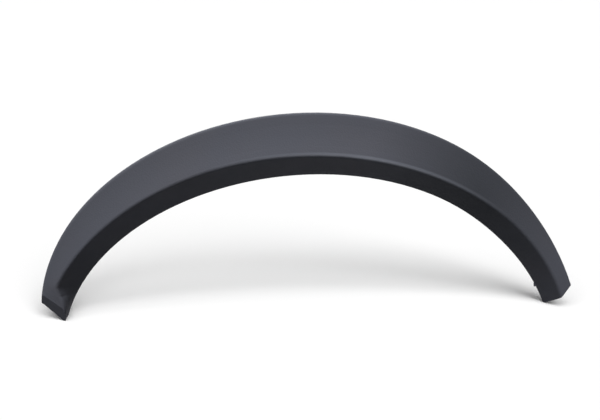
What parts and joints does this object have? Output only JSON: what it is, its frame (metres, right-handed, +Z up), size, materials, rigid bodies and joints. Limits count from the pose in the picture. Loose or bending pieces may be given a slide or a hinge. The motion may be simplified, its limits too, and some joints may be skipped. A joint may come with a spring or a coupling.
{
  "type": "wheel arch trim",
  "caption": "Grained charcoal plastic trim that frames a wheel arch: a hollow tapering face folds back into a lip, with clip towers behind it and pointed feet",
  "frame": {"origin": "middle of the trim's box at the level of its two tips, in the plane of the body panel", "axes": "+X along the vehicle, +Y into the vehicle with the outer face looking to -Y, +Z up"},
  "size_m": [0.8789, 0.06, 0.3367],
  "materials": {
    "grained_pp": "fine moulded grain, matte charcoal"
  },
  "bodies": {
    "root": {"arch_trim": "grained_pp"}
  },
  "joints": []
}
